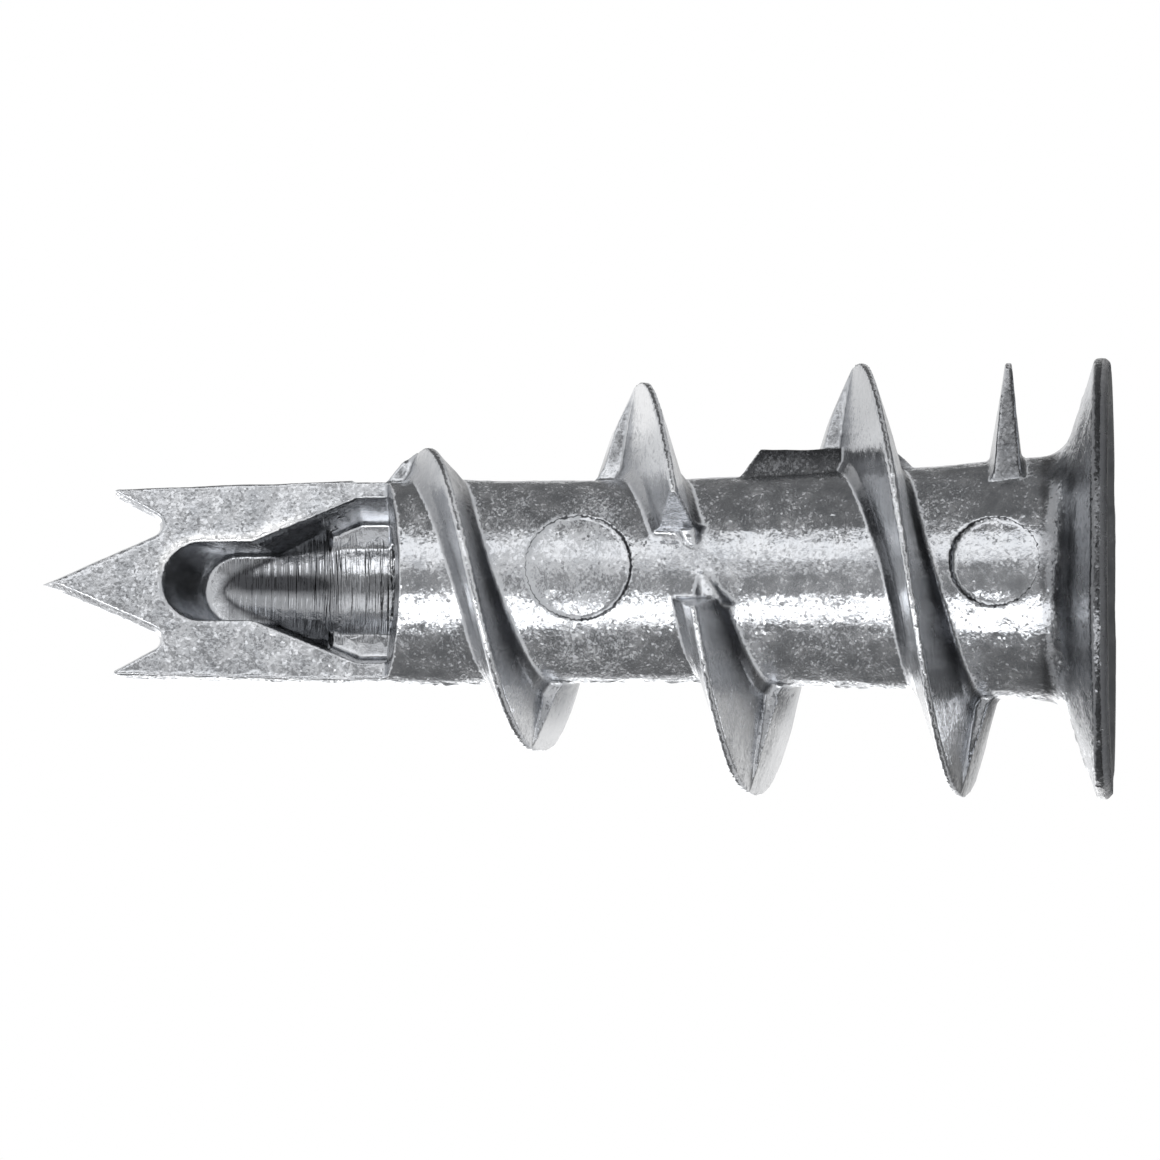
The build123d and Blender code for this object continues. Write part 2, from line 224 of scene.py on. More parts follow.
# %% Helper: a dark finish
def dark_finish(name, shade):
    """A finish of one grey that needs no light: an Emission shader with that shade."""
    finish = bpy.data.materials.new(name)
    finish.use_nodes = True
    finish.node_tree.nodes.clear()
    grey = (shade, shade, shade, 1)
    glow = add_node(finish.node_tree, "ShaderNodeEmission", Color=grey, Strength=1.0)
    glow.name = "glow"
    out = add_node(finish.node_tree, "ShaderNodeOutputMaterial", (200, 0))
    finish.node_tree.links.new(glow.outputs[0], out.inputs["Surface"])
    return finish


# %% Helper: a card that only reflections see
def set_card(name, mesh, finish):
    """Sets up a card, hides it from all but glossy light, and links it to the scene."""
    card = bpy.data.objects.new(name, mesh)
    mesh.materials.append(finish)
    bpy.context.scene.collection.objects.link(card)
    card.visible_camera = False
    card.visible_diffuse = False
    card.visible_shadow = False
    card.visible_transmission = False
    print(name, "of", len(mesh.polygons), "faces")


# %% Helper: a piece of tube
def tube_mesh(name, from_angle, to_angle, top, radius=0.42, foot=-0.25):
    """A piece of tube: radius times the cosine and sine of the angle, between two heights."""
    turn = np.radians(np.linspace(from_angle, to_angle, 25))
    side = np.array(towards_camera)[None, :] * np.cos(turn)[:, None]
    side = side + np.array(picture_up)[None, :] * np.sin(turn)[:, None]
    ring = side * radius
    corners = np.concatenate([ring + (0, 0, foot), ring + (0, 0, top)])
    first = np.arange(len(turn) - 1)
    faces = np.stack([first, first + 1, first + 1 + len(turn), first + len(turn)], axis=1)
    mesh = bpy.data.meshes.new(name)
    mesh.from_pydata(corners.tolist(), [], faces.tolist())
    return mesh


# %% Cards round the part and under it
for name, from_angle, to_angle, top, shade in (
    ("front card", -20, 15, 0.25, 0.33),
    ("upper card", 52, 160, 0.22, 0.19),
    ("lower card", -140, -50, 0.22, 0.20),
):
    set_card(name, tube_mesh(name, from_angle, to_angle, top), dark_finish(name, shade))

UNDER_CARD_EDGE = 0.4
UNDER_CARD_HEIGHT = -1.0 * MM
disc = ring_mesh("under card", 0.1 * MM, UNDER_CARD_EDGE, UNDER_CARD_HEIGHT)
set_card("under card", disc, dark_finish("under card", 0.12))

# %% [markdown]
# ## A card that fades
#
# The flanks that face the head mirror the floor round it. White paper would make them as pale as
# the flanks that face the tip, and they need to be darker. A disc of one dark grey would show its
# hard rim in them, so this ring fades: the distance from the axis, read from Object coordinates,
# runs through a Map Range into the grey.

# %% Ring card on the floor
RING_DARK = 8 * MM
RING_EDGE = 26 * MM
RING_HEIGHT = 0.2 * MM
fading = dark_finish("ring card", 0.1)
spot = add_node(fading.node_tree, "ShaderNodeTexCoord", (-1000, 0))
from_axis = add_node(fading.node_tree, "ShaderNodeVectorMath", (-800, 0), operation="LENGTH")
way_out = add_node(fading.node_tree, "ShaderNodeMapRange", (-600, 0))
way_out.inputs["From Min"].default_value = RING_DARK
way_out.inputs["From Max"].default_value = RING_EDGE
way_out.inputs["To Min"].default_value = 0.11
way_out.inputs["To Max"].default_value = 0.85
fading.node_tree.links.new(spot.outputs["Object"], from_axis.inputs[0])
fading.node_tree.links.new(from_axis.outputs["Value"], way_out.inputs["Value"])
fading.node_tree.links.new(way_out.outputs[0], fading.node_tree.nodes["glow"].inputs["Color"])
ring = ring_mesh("ring card", 1.02 * FLANGE_RADIUS * MM, RING_EDGE, RING_HEIGHT)
set_card("ring card", ring, fading)

# %% [markdown]
# ## The casting's mesh
#
# The solid's mesh has long thin triangles and knife-sharp edges. A bevel would need clean faces.
# A voxel remesh is simpler: it fills the shape with small cubes and skins them, so every edge and
# inner corner gets the small round that a die leaves. The remesh has a least cube size of a tenth
# of a millimetre in metres, so the copy is worked on in millimetres and brought back at the end.

# %% Copy the solid in millimetres
casting_mesh = solid.data.copy()
casting_mesh.name = "casting"
casting_mesh.transform(Matrix.Scale(1 / MM, 4))
casting = bpy.data.objects.new("casting", casting_mesh)
bpy.context.scene.collection.objects.link(casting)
bpy.context.view_layer.objects.active = casting
casting.select_set(True)
print("the copy has", len(casting_mesh.polygons), "loose triangles")


# %% Skin it with even faces
def apply_modifier(owner, kind, **settings):
    """Adds one modifier, sets it and makes its result the mesh."""
    step = owner.modifiers.new(kind.lower(), kind)
    for name, value in settings.items():
        setattr(step, name, value)
    with bpy.context.temp_override(object=owner, active_object=owner):
        bpy.ops.object.modifier_apply(modifier=step.name)


CUBE = 0.065
apply_modifier(casting, "WELD", merge_threshold=0.0005)
apply_modifier(casting, "REMESH", mode="VOXEL", voxel_size=CUBE, adaptivity=0.0)
apply_modifier(casting, "SMOOTH", factor=0.5, iterations=2)
triangles = 2 * len(casting.data.polygons)
print("the skin of", CUBE, "mm cubes has", triangles, "triangles")

# %% [markdown]
# ## Fewer triangles
#
# The skin is finer than a shared part should be, so a Decimate modifier merges faces. On perfectly
# flat or round stretches it would leave long thin triangles, whose outlines show in the highlights.
# A shiver of six thousandths of a millimetre beforehand gives it no stretch that is perfect, and the
# triangles stay even. The shiver is noise on a lattice, which has the same value at a place however
# the points are numbered.


# %% Helper: noise on a lattice
# odd numbers whose products scatter neighbouring corners far apart, cut to 32 bits
SPREAD = (73856093, 19349663, 83492791)
SEED_SPREAD = 2654435761
STIR = 1274126177
LOW_32_BITS = 0xFFFFFFFF
LOW_16_BITS = 0xFFFF


def lattice_noise(place, cell, seed):
    """Noise between -1 and 1: a hash gives each lattice corner a number, mixed by smooth weights.

    A weight is the product of three smooth steps, one for each axis, from the corner to the next.
    """
    scaled = place / cell + 1000
    base = np.floor(scaled).astype(np.int64)
    part = scaled - base
    part = part * part * (3 - 2 * part)
    total = np.zeros(len(place))
    for corner in range(8):
        step = np.array([corner & 1, corner >> 1 & 1, corner >> 2 & 1])
        index = base + step
        mixed = index[:, 0] * SPREAD[0] ^ index[:, 1] * SPREAD[1] ^ index[:, 2] * SPREAD[2]
        mixed = (mixed ^ seed * SEED_SPREAD) & LOW_32_BITS
        mixed = (mixed ^ mixed >> 13) * STIR & LOW_32_BITS
        number = (mixed ^ mixed >> 16) & LOW_16_BITS
        weight = np.prod(np.where(step == 1, part, 1 - part), axis=1)
        total += weight * (2 * number / LOW_16_BITS - 1)
    return total


# %% Helper: points and normals
def read_points(mesh):
    """The mesh's positions and its normals, as two arrays with a row for each point."""
    places = np.empty(len(mesh.vertices) * 3)
    directions = np.empty(len(mesh.vertices) * 3)
    mesh.vertices.foreach_get("co", places)
    mesh.vertices.foreach_get("normal", directions)
    return places.reshape(-1, 3), directions.reshape(-1, 3)


# %% Shiver and thin out
MOST_TRIANGLES = 190000
SHIVER = 0.006
SHIVER_CELL = 0.2
even, outward = read_points(casting.data)
shiver = SHIVER * lattice_noise(even, SHIVER_CELL, 9)
casting.data.vertices.foreach_set("co", (even + outward * shiver[:, None]).ravel())
if triangles > MOST_TRIANGLES:
    apply_modifier(casting, "DECIMATE", ratio=MOST_TRIANGLES / triangles)
apply_modifier(casting, "TRIANGULATE")

users = np.empty(len(casting.data.loops), dtype=np.int32)
casting.data.loops.foreach_get("edge_index", users)
unshared = int((np.bincount(users, minlength=len(casting.data.edges)) != 2).sum())
print("casting has", len(casting.data.polygons), "triangles, and", unshared, "edges without two faces")

# %% [markdown]
# ## Where the casting is worn
#
# Proud edges are knocked and worn bright, and hollow corners get painted shade. Blender has a Pointiness
# output for this, but only a finish can read it, and the relief needs the edges as well.
# Here a point is compared with the mean of its neighbours: how far it stands out along its normal
# tells an edge from a hollow.

# %% Read the points
points, normals = read_points(casting.data)
count = len(points)
x, y, z = points.T
nx, ny, nz = normals.T
radius = np.hypot(x, y)
print(count, "points, up to", round(float(radius.max()), 2), "mm from the axis")


# %% Helpers: smooth steps
def ramp(value, low, high):
    """0 below low, 1 above high, and a smooth step between them."""
    share = np.clip((value - low) / (high - low), 0, 1)
    return share * share * (3 - 2 * share)


def fall(value, low, high):
    """1 below low, 0 above high, and a smooth step between them."""
    return ramp(-value, -high, -low)


# %% Worn edges
edge_ends = np.empty(len(casting.data.edges) * 2, dtype=np.int64)
casting.data.edges.foreach_get("vertices", edge_ends)
start, end = edge_ends.reshape(-1, 2).T
neighbours = np.bincount(start, minlength=count) + np.bincount(end, minlength=count)


def neighbour_mean(values):
    """The mean of each point's neighbours along the edges, added up with bincount."""
    total = np.bincount(start, values[end], count) + np.bincount(end, values[start], count)
    return total / np.maximum(neighbours, 1)


bulge = sum((points[:, i] - neighbour_mean(points[:, i])) * normals[:, i] for i in range(3))
for _ in range(2):
    bulge = neighbour_mean(bulge)
edge_wear = ramp(bulge, 0.003, 0.011)
print("share of points on edges", round(float((edge_wear > 0.5).mean()), 3))

# %% [markdown]
# ## Masks
#
# Where the metal is coarse, striped or smooth depends on the place. The places could be painted by
# hand as vertex colours, but a new remesh would lose them. Here each place has a number from 0 to 1
# for every point, worked out from its position and normal. In each smooth step the two numbers say
# where it starts and ends: millimetres for a place, cosines for a normal. The masks drive the fine
# relief and, stored as attributes, the finish of the zinc.

# %% Masks of the drill blade and its window
BLADE_ROOT = TIP - 10.23
BLADE_FACE = -0.55
FLOOR_END = 26.2
LEDGE_TOP = 23.25
on_blade = ramp(z, BLADE_ROOT - 0.05, BLADE_ROOT + 0.05)
blade_face = on_blade * ramp(-ny, 0.75, 0.95) * fall(np.abs(y - BLADE_FACE), 0.04, 0.12)
root_line = on_blade * fall(z, BLADE_ROOT + 0.1, BLADE_ROOT + 0.35) * ramp(-y, 0.3, 0.45)
in_window = on_blade * ramp(y, BLADE_FACE + 0.1, BLADE_FACE + 0.3) * fall(np.abs(x), 2.3, 2.5)
window_floor = in_window * ramp(-ny, 0.02, 0.15) * fall(np.abs(nx), 0.98, 0.995)
ledge = (z < LEDGE_TOP) & (radius > 2.08)
groove = np.where(ledge, 0, window_floor * fall(z, FLOOR_END, FLOOR_END + 0.4))
print("blade face", int((blade_face > 0.5).sum()), "points, groove", int((groove > 0.5).sum()))

# %% Masks of the flight, the seam and the rim
END_FACE = -2.45
flight = ramp(radius, 3.35, 3.75) * fall(z, 20.5, 21.0) * ramp(z, 1.2, 2.0)
flank = flight * ramp(np.abs(nz), 0.6, 0.85)
crest = flight * fall(np.abs(nz), 0.3, 0.6) * ramp(np.abs(x), 2.4, 3.0)
cut_end = ramp(-ny, 0.94, 0.98) * fall(np.abs(y - END_FACE), 0.03, 0.08) * fall(z, 4, 5)
parting = fall(np.abs(y), 0.02, 0.085) * ramp(radius, 2.5, 2.7)
rim = ramp(radius, 6.3, 6.42) * fall(z, 0.5, 0.7)
print("flanks", int((flank > 0.5).sum()), "points, crest", int((crest > 0.5).sum()))

# %% [markdown]
# The grain is coarsest where the melt froze last or the die is rough: the blade's flat face, its
# root, and the rim. On the flanks and in the window, where the die was polished or where steel slid
# past, it is finer.

# %% How coarse the grain is
grain = 0.6 + 0.4 * blade_face - 0.15 * flank - 0.35 * window_floor + 0.5 * rim + 0.5 * root_line
grain = np.clip(grain + 0.1 * cut_end + 0.4 * edge_wear, 0.05, 1.3)
print("grain from", round(float(grain.min()), 2), "to", round(float(grain.max()), 2))

# %% [markdown]
# ## Bright places: painted highlights
#
# Where the window's core met the die, the melt crept between them and left a thin lip along the slot,
# and a highlight is painted on it. A highlight is painted on the outer flanks too, but not on the one
# side near the flange, where shade is painted instead. A curve laid along the slot would be one more
# piece to fit. The distance to the window's outline is enough: the outline is a half circle and two
# straight lines that open into a vee.

# %% Distance to the window's outline
SLOT_HALF = 1.17
SLOT_CENTRE = TIP - 3.54 - SLOT_HALF
VEE_START = 6.15
VEE_END = 9.34
VEE_HALF = 2.48
vee_slope = (VEE_HALF - SLOT_HALF) / (VEE_END - VEE_START)
opening = np.interp(TIP - z, (VEE_START, VEE_END), (SLOT_HALF, VEE_HALF))
square_on = np.where(TIP - z > VEE_START, math.cos(math.atan(vee_slope)), 1.0)
beside = (np.abs(x) - opening) * square_on
beyond = np.hypot(x, z - SLOT_CENTRE) - SLOT_HALF
window_gap = np.where(z > SLOT_CENTRE, beyond, beside)
print("the vee's sides lean by", round(math.degrees(math.atan(vee_slope)), 1), "degrees")

# %% Painted highlights on the lip and the outer flanks
LIP_WIDTH = 0.28
# the lip is a raised ridge in the relief, and a highlight is painted on it
lip = blade_face * np.clip(1 - window_gap / LIP_WIDTH, 0, 1) * fall(np.abs(window_gap), 0.4, 0.6)
lip = lip * ramp(x, 0.2, 0.6) * ramp(z, 23.6, 24.6)
outer_flank = flank * ramp(np.abs(x), 3.4, 4.4)
# the upper side near the flange, whose outer flanks get painted shade instead of a painted highlight
upper_side_near_flange = ramp(x, 0, 1) * fall(z, 9, 10)
flank_highlight = outer_flank * (1 - upper_side_near_flange)
# painted highlights: on the lip by the slot and on the outer flanks
bright = 1.5 * lip + 0.65 * flank_highlight
print("bright points", int((bright > 0.3).sum()))

# %% [markdown]
# ## Dark places: painted shade
#
# Shade is painted into the colour where the metal looks dark: in the groove's middle, along the edge of
# the nose, on the window's lower wall and floor, on the flange's rim, on the flat end of the flight and
# along its crest, at the feet of the flight and under it, on the outer flanks near the flange, in hollow
# corners, at the gate and where the flare begins. An ambient occlusion node would darken every corner
# alike. Each dark place is a mask of its own instead, with a weight, and the weighted sum is kept
# between 0 and 1.

# %% Dark places in the window
BORE_RADIUS = 2.0
NOSE_RADIUS = 1.27
NOSE_SPAN = (TIP - 8.75, TIP - 5.15)
SLOT_FLOOR = 1.3
nose_radius = np.interp(z, NOSE_SPAN, (BORE_RADIUS, NOSE_RADIUS))
nose_half = np.sqrt(np.maximum(nose_radius**2 - SLOT_FLOOR**2, 0))
# painted shade along the edge of the nose, where it meets the window's floor
nose_edge = np.exp(-(((np.abs(x) - nose_half - 0.05) / 0.11) ** 2)) * ramp(z, 24.3, 24.9)
nose_edge = nose_edge * window_floor * fall(z, FLOOR_END + 0.2, FLOOR_END + 0.4)
# painted shade down the middle of the groove
middle_band = np.exp(-(((x - 0.28) / 0.27) ** 2)) * ramp(z, 22.3, 24.0) * fall(z, 25.6, 26.6)
# painted shade on the window's lower wall
lower_wall = in_window * ramp(nx, 0.75, 0.9) * ramp(-x, 0.9, 1.1)
# painted shade on the window's floor
floor_only = in_window * ramp(-ny, 0.3, 0.6) * fall(z, FLOOR_END, FLOOR_END + 0.4)
print("the nose is", round(float(2 * nose_half.max()), 2), "mm wide where it meets the floor")

# %% Dark places on the shank and the flight
GATE_HEIGHT = 8.4
off_blade = 1 - on_blade
# painted shade in hollow corners, where the skin bends inwards
hollow = ramp(-bulge, 0.004, 0.016) * off_blade
# painted reflection: a dark patch on the upper side of the shank at the gate
gate = ramp(x, 2.5, 2.8) * fall(np.abs(z - GATE_HEIGHT), 2.3, 2.5) * fall(np.abs(y), 1.0, 1.2)
gate = gate * fall(radius, 3.85, 3.95) * fall(np.abs(nz), 0.3, 0.5)
# painted shade on the flanks near the shank, darker towards the flange
flank_foot = off_blade * ramp(np.abs(nz), 0.45, 0.75) * ramp(z, 1.5, 2.2) * fall(radius, 3.1, 4.7)
# painted shade on the head-facing undersides of the flight, on its front
underside = off_blade * ramp(-nz, 0.35, 0.65) * ramp(z, 2.5, 3.2)
underside = underside * ramp(-y, -0.4, 0.9) * fall(radius, 4.6, 6.6) * ramp(x, -3.6, -2.4)
# painted shade where the flare begins, under the last turn of the flight
flare_start = ramp(z, 1.35, 1.6) * fall(z, 1.9, 2.15) * ramp(radius, 2.3, 2.5)
print("hollow points", int((hollow > 0.5).sum()), "and gate", int((gate > 0.5).sum()))

# %% Add the dark places up
# painted shade: each row is a weight and a mask where the colour is darkened for shade
painted_shades = (
    (1.00, middle_band * groove),
    (0.95, nose_edge),
    (0.60, lower_wall),
    # painted shade on the flange's rim
    (0.80, rim),
    (0.45, hollow),
    # painted shade on the flat end of the flight
    (0.65, cut_end),
    (0.40, floor_only * (1 - ledge)),
    (0.58, gate),
    (0.50 + 0.30 * fall(z, 7.0, 9.5), flank_foot),
    (0.50, underside),
    (0.55, flare_start),
    # painted shade along the crest of the flight
    (0.35, crest * (1 - cut_end)),
    # painted shade on the outer flanks of the upper side near the flange
    (0.25, outer_flank * upper_side_near_flange),
)
painted_shade = np.clip(sum(weight * mask for weight, mask in painted_shades), 0, 1)
print("share of points that are shaded", round(float((painted_shade > 0.3).mean()), 3))

# %% [markdown]
# ## Relief
#
# A die wears, the melt shrinks and freezes unevenly, and the trimmed seam stays rough. Displace
# modifiers could do this, each with a texture and a vertex group. With the masks at hand it is less
# work to add the lattice noise up, in four sizes: long soft waves on the shank, little on the flight,
# a fine crust on the blade, and a ragged ridge on the seam. It moves points along their normals, by
# little more than a hundredth of a millimetre on average and by about a tenth at most.

# %% How far each point moves
wave, slow, middle, fine = (
    lattice_noise(points, cell, seed) for cell, seed in ((2.4, 4), (1.3, 1), (0.5, 2), (0.22, 3))
)
lift = 0.040 * wave + 0.034 * slow + 0.011 * middle + 0.003 * fine
lift = lift * (1 - 0.5 * flank - 0.5 * blade_face)

# the blade's face shrinks hollow towards its sides, and a lip stands along the slot
sunken_side = -np.where(x > 0, 0.003, 0.008) * x**2
lift = lift + blade_face * (sunken_side + 0.010 * middle + 0.012 * fine) + 0.030 * lip

# the seam and the worn edges are ragged, but less so on the thin flight
on_flight = ramp(radius, 3.2, 3.6) * ramp(z, 2.5, 3.0) * fall(z, 20.7, 20.9)
lift = lift + parting * (0.030 + 0.015 * middle + 0.012 * fine) * (1 - 0.8 * on_flight)
lift = lift + edge_wear * (0.012 * middle + 0.015 * fine) * (1 - 0.6 * on_flight)

# the bore and the window are shaped by polished steel cores, so their skin is smoother
in_bore = (radius < 1.9) & (z < 21.0)
lift[in_bore] *= 0.3
lift *= 1 - 0.6 * on_blade * (1 - blade_face)
typical = float(np.abs(lift).mean())
print("relief from", round(float(lift.min()), 3), "to", round(float(lift.max()), 3), "mm")
print("and", round(typical, 3), "mm on average")

# %% [markdown]
# The remesh rounds the drill's centre point off a little. It gets its length back by a stretch of
# the last one and a half millimetres, which grows with the square of the height, so that it starts
# smoothly. No point may leave the solid's box.

# %% Move the points
TIP_STRETCH = 1.5
moved = points + normals * lift[:, None]
tip_share = np.clip((moved[:, 2] - (TIP - TIP_STRETCH)) / TIP_STRETCH, 0, 1) ** 2
missing = TIP - moved[:, 2].max()
moved[:, 2] += missing * tip_share
box_low, box_high = np.array(cad_box)
moved = np.clip(moved * MM, box_low, box_high)
casting.data.vertices.foreach_set("co", moved.ravel())
print("the tip got back", round(float(missing), 3), "mm")

# %% Store the masks on the points
# the last two attributes carry painted shade and painted highlights
for name, values in (
    ("grain", grain),
    ("edge", edge_wear),
    ("groove", groove),
    ("painted_shade", painted_shade),
    ("bright", bright),
):
    layer = casting.data.attributes.new(name, "FLOAT", "POINT")
    layer.data.foreach_set("value", values.astype(np.float32))
casting.data.polygons.foreach_set("use_smooth", np.ones(len(casting.data.polygons), dtype=bool))
casting.data.update()
print("stored", [layer.name for layer in casting.data.attributes if layer.data_type == "FLOAT"])

# %% [markdown]
# ## Zinc
#
# Cast zinc is a bluish grey metal, mirror-like in small patches and soft as a whole. Its finish is one
# Principled shader with full Metallic. A scanned texture would be quicker to set up, but it needs a file
# and stretches on the flight. Noises on Object coordinates run through the metal like its real grain.
# The masks stored on the points say where the grain is coarse, where a highlight is painted and where
# shade is painted.

# %% Start the finish
zinc = bpy.data.materials.new("cast zinc")
zinc.use_nodes = True
zinc.node_tree.nodes.clear()
join = zinc.node_tree.links.new
metal = add_node(zinc.node_tree, "ShaderNodeBsdfPrincipled", (600, 0), Metallic=1.0)
metal_out = add_node(zinc.node_tree, "ShaderNodeOutputMaterial", (900, 0))
join(metal.outputs[0], metal_out.inputs["Surface"])
place = add_node(zinc.node_tree, "ShaderNodeTexCoord", (-1200, 0)).outputs["Object"]


# %% Helpers: noises, masks and calculations
def noise(scale, detail, roughness, at):
    """A noise texture on Object coordinates. Its scale is the number of grains in a metre."""
    settings = {"Scale": scale, "Detail": detail, "Roughness": roughness}
    node = add_node(zinc.node_tree, "ShaderNodeTexNoise", at, **settings)
    join(place, node.inputs["Vector"])
    return node.outputs["Fac"]


def stored(name, at):
    """One of the masks stored on the points."""
    return add_node(zinc.node_tree, "ShaderNodeAttribute", at, attribute_name=name).outputs["Fac"]


def calculation(kind, operation, values, at):
    """A Math or Vector Math node: each input is a socket to join, or a value to set."""
    node = add_node(zinc.node_tree, kind, at, operation=operation)
    for socket, value in zip(node.inputs, values):
        if isinstance(value, bpy.types.NodeSocket):
            join(value, socket)
        else:
            socket.default_value = value
    return node


def math_node(operation, values, at):
    """The number that a Math node makes of two or three numbers."""
    return calculation("ShaderNodeMath", operation, values, at).outputs[0]


def vector_node(operation, values, at):
    """A Vector Math node on one or two vectors."""
    return calculation("ShaderNodeVectorMath", operation, values, at)


def stretch(value, from_low, from_high, to_low, to_high, at):
    """A Map Range node from one span to another, which stops at both ends."""
    spans = {"From Min": from_low, "From Max": from_high, "To Min": to_low, "To Max": to_high}
    node = add_node(zinc.node_tree, "ShaderNodeMapRange", at, **spans)
    join(value, node.inputs["Value"])
    return node.outputs[0]


# %% Masks and noises that the finish reads
grain_mask = stored("grain", (-1000, 500))
edge_mask = stored("edge", (-1000, 350))
groove_mask = stored("groove", (-1000, 650))
# painted shade of the dark places
painted_shade_mask = stored("painted_shade", (-1000, 800))
# painted highlights of the bright places
painted_highlight_mask = stored("bright", (-1000, 950))
crust = noise(9500, 1, 0.4, (-900, 100))
speck = noise(21000, 0, 0.5, (-900, -100))
cloud = noise(1600, 3, 0.55, (-900, -300))

# %% [markdown]
# ### Colour
#
# Fresh zinc is pale and slightly blue, and it dulls in cloudy patches as it oxidises. Clouds of the
# widest noise mix two greys in a Color Ramp. Worn edges go towards polished metal, and so do the bright
# places, where a highlight is painted. Painted shade and the pin lines go towards a dark blue-grey. One
# flat colour would look like paint.

# %% Colour
DULL_ZINC = (0.450, 0.465, 0.490, 1)
FRESH_ZINC = (0.600, 0.612, 0.635, 1)
# pale zinc of worn edges and of painted highlights
WORN_AND_HIGHLIGHT_ZINC = (0.92, 0.925, 0.935, 1)
# dark grey of painted shade and of the pin lines
SHADE_AND_LINE_GREY = (0.07, 0.072, 0.078, 1)
tone = add_node(zinc.node_tree, "ShaderNodeValToRGB", (-300, 300))
tone.color_ramp.elements[0].position = 0.30
tone.color_ramp.elements[0].color = DULL_ZINC
tone.color_ramp.elements[1].position = 0.70
tone.color_ramp.elements[1].color = FRESH_ZINC
join(cloud, tone.inputs["Fac"])

# towards pale zinc on worn edges, and painted highlights on the bright places
wear_and_highlight = add_node(zinc.node_tree, "ShaderNodeMix", (0, 300), data_type="RGBA")
wear_and_highlight.inputs["B"].default_value = WORN_AND_HIGHLIGHT_ZINC
join(tone.outputs["Color"], wear_and_highlight.inputs["A"])
worn_share = math_node("MULTIPLY", (edge_mask, 0.2), (-400, 500))
join(math_node("MAXIMUM", (worn_share, painted_highlight_mask), (-200, 500)), wear_and_highlight.inputs["Factor"])

# towards dark grey for painted shade and for the pin lines
shade_and_lines = add_node(zinc.node_tree, "ShaderNodeMix", (200, 300), data_type="RGBA")
shade_and_lines.inputs["B"].default_value = SHADE_AND_LINE_GREY
join(wear_and_highlight.outputs["Result"], shade_and_lines.inputs["A"])
join(shade_and_lines.outputs["Result"], metal.inputs["Base Color"])
print("zinc from", DULL_ZINC[:3], "to", FRESH_ZINC[:3])

# %% [markdown]
# ### Ejector pins
#
# Two round pins push the casting out of the die, and each leaves a shallow round mark with a ragged
# dark line round it. The mark is in the solid. The line is too thin for its mesh, so the finish
# draws it: where the distance from the pin's axis is near the pin's radius. The crust noise makes
# that distance ragged, and the line is wider on the side where the pin stood deeper.

# %% Ragged lines of the ejector pins
# height and radius of each pin in mm, and 1 or -1 for its upper or lower side standing deeper
PINS = ((15.6, 1.55, -1), (3.35, 1.31, 1))
LINE_OUTSIDE = 0.08 * MM
RAGGED_BY = 0.16 * MM
THIN_LINE = 0.01 * MM
WIDE_LINE = 0.05 * MM
axes_of_place = add_node(zinc.node_tree, "ShaderNodeSeparateXYZ", (-1000, 1000))
join(place, axes_of_place.inputs[0])
lines = []
for pin_height, pin_radius, deep_side in PINS:
    along = math_node("SUBTRACT", (axes_of_place.outputs["Z"], pin_height * MM), (-800, 1000))
    flat = add_node(zinc.node_tree, "ShaderNodeCombineXYZ", (-600, 1000))
    join(axes_of_place.outputs["X"], flat.inputs["X"])
    join(along, flat.inputs["Z"])
    reach = vector_node("LENGTH", (flat.outputs[0],), (-400, 1000)).outputs["Value"]
    ragged = math_node("MULTIPLY_ADD", (crust, RAGGED_BY, reach), (-400, 1150))
    off_line = math_node("SUBTRACT", (ragged, pin_radius * MM + LINE_OUTSIDE), (-200, 1000))
    off_line = math_node("ABSOLUTE", (off_line,), (-50, 1000))
    deep_end = pin_radius * MM * deep_side
    line_width = stretch(along, -deep_end, deep_end, THIN_LINE, WIDE_LINE, (-200, 1200))
    share = math_node("DIVIDE", (off_line, line_width), (100, 1000))
    lines.append(stretch(share, 0.5, 1.2, 1, 0, (250, 1000)))

# %% Lines on the front only, and painted shade
front_side = stretch(axes_of_place.outputs["Y"], -2.4 * MM, -2.2 * MM, 1, 0, (250, 1200))
both_lines = math_node("MAXIMUM", lines, (400, 1000))
front_lines = math_node("MULTIPLY", (both_lines, front_side), (550, 1000))
# painted shade and the pin lines darken the colour together
join(math_node("MAXIMUM", (front_lines, painted_shade_mask), (700, 1000)), shade_and_lines.inputs["Factor"])
print(len(lines), "pin lines drawn")

# %% [markdown]
# ### Roughness
#
# Where the crust is coarse, light spreads wider. The grain mask sets the level, and the clouds move
# it up and down a little, so that a highlight breaks up as it does on real castings.

# %% Roughness
SMOOTH_CRUST = 0.205
COARSE_CRUST = 0.255
CLOUD_SWING = 0.05
rough_noise = stretch(cloud, 0.3, 0.7, -CLOUD_SWING, CLOUD_SWING, (-400, 0))
rough_base = stretch(grain_mask, 0.0, 1.0, SMOOTH_CRUST, COARSE_CRUST, (-400, 150))
join(math_node("ADD", (rough_noise, rough_base), (-100, 0)), metal.inputs["Roughness"])
print("roughness from", round(SMOOTH_CRUST - CLOUD_SWING, 3), "to", COARSE_CRUST + CLOUD_SWING)

# %% [markdown]
# ### Frozen grains
#
# Zinc freezes in crystals, and each small facet of them mirrors another part of the room, so a
# casting sparkles. Real facets would take millions of faces, and a bump of plain noise gives round
# pits. A Voronoi texture gives each cell a random colour, and read as a direction that colour tilts
# the normal of the whole cell one way. Most facets hardly tilt: the tilt is scaled by its own
# squared length, so only the rare large ones stand out, and a gain of four makes up for the loss.
# The clouds gather them in patches.

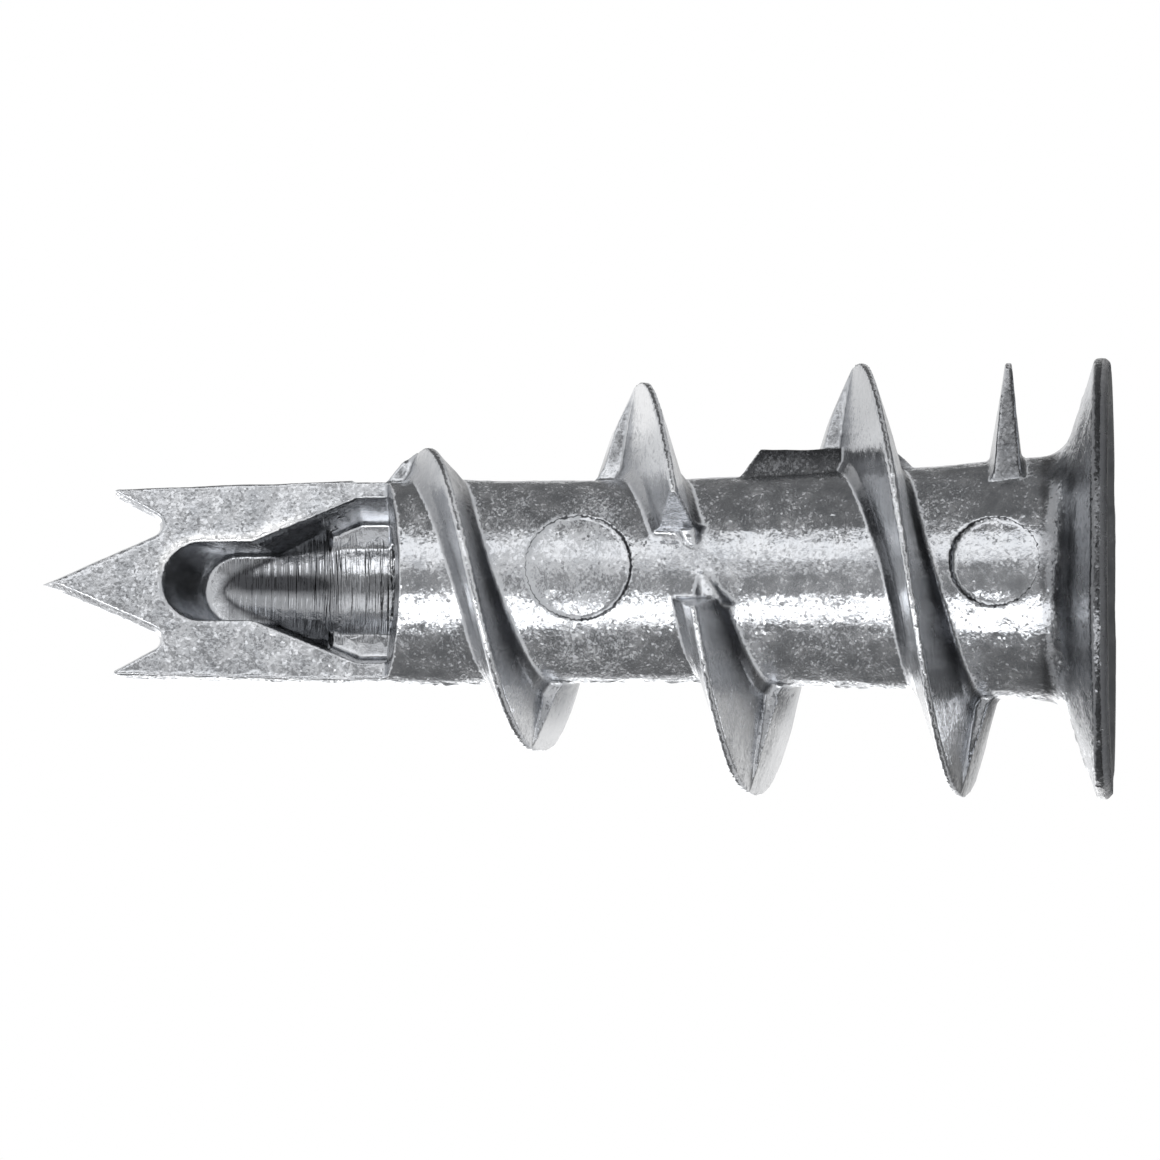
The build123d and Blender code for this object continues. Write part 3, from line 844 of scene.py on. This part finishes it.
# %% Facets that tilt
GRAINS_PER_METRE = 13000
GRAIN_TILT = 0.17
RARITY_GAIN = 4.0
cells = add_node(zinc.node_tree, "ShaderNodeTexVoronoi", (-900, -900), Scale=GRAINS_PER_METRE)
join(place, cells.inputs["Vector"])
half = (0.5, 0.5, 0.5)
way = vector_node("SUBTRACT", (cells.outputs["Color"], half), (-700, -900)).outputs[0]
squared = vector_node("DOT_PRODUCT", (way, way), (-600, -1350)).outputs["Value"]
patches = stretch(cloud, 0.35, 0.65, 0.6 * GRAIN_TILT, 1.5 * GRAIN_TILT, (-900, -1200))
amount = math_node("MULTIPLY", (grain_mask, patches), (-700, -1050))
amount = math_node("MULTIPLY", (amount, squared), (-500, -1200))
amount = math_node("MULTIPLY", (amount, RARITY_GAIN), (-400, -1300))
tilt = vector_node("SCALE", (way,), (-500, -900))
join(amount, tilt.inputs["Scale"])
surface = add_node(zinc.node_tree, "ShaderNodeNewGeometry", (-500, -1050)).outputs["Normal"]
leaning = vector_node("ADD", (surface, tilt.outputs[0]), (-300, -900)).outputs[0]
tilted = vector_node("NORMALIZE", (leaning,), (-100, -900)).outputs[0]
print("a grain is about", round(1 / GRAINS_PER_METRE / MM, 3), "mm across")

# %% [markdown]
# ### Bump
#
# Two Bump nodes in a row add what is finer than the facets: the crust with its specks everywhere,
# and the marks that a cutter left across the core that shapes the window's groove. The marks are a
# noise squeezed to thin stripes by a Mapping node, which stretches it along two of its three axes.

# %% Crust and tool marks
CRUST_HEIGHT = 0.01 * MM
MARKS_HEIGHT = 0.05 * MM
coarse = math_node("MULTIPLY", (crust, grain_mask), (-600, -200))
crust_height = math_node("MULTIPLY_ADD", (speck, 0.20, coarse), (-400, -250))
bump = add_node(zinc.node_tree, "ShaderNodeBump", (200, -300), Strength=1.0, Distance=CRUST_HEIGHT)
join(crust_height, bump.inputs["Height"])
join(tilted, bump.inputs["Normal"])

squeeze = add_node(zinc.node_tree, "ShaderNodeMapping", (-1100, -600), Scale=(0.06, 0.06, 1.0))
join(place, squeeze.inputs["Vector"])
marks = add_node(zinc.node_tree, "ShaderNodeTexNoise", (-900, -600), Scale=7000, Detail=2, Roughness=0.6)
join(squeeze.outputs[0], marks.inputs["Vector"])
marks_height = math_node("MULTIPLY", (marks.outputs["Fac"], groove_mask), (-600, -600))
marks_bump = add_node(zinc.node_tree, "ShaderNodeBump", (400, -400), Strength=1.0, Distance=MARKS_HEIGHT)
join(marks_height, marks_bump.inputs["Height"])
join(bump.outputs[0], marks_bump.inputs["Normal"])
join(marks_bump.outputs[0], metal.inputs["Normal"])
print("the finish has", len(zinc.node_tree.nodes), "nodes")

# %% [markdown]
# ## Hand over
#
# The casting rides on the part's one body and stands for the solid, which stays for the physics.

# %% Put the finish on
casting.data.materials.clear()
casting.data.materials.append(zinc)
one_finish = np.zeros(len(casting.data.polygons), dtype=np.int32)
casting.data.polygons.foreach_set("material_index", one_finish)

# %% Finish
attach(casting, "root")
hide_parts("anchor")
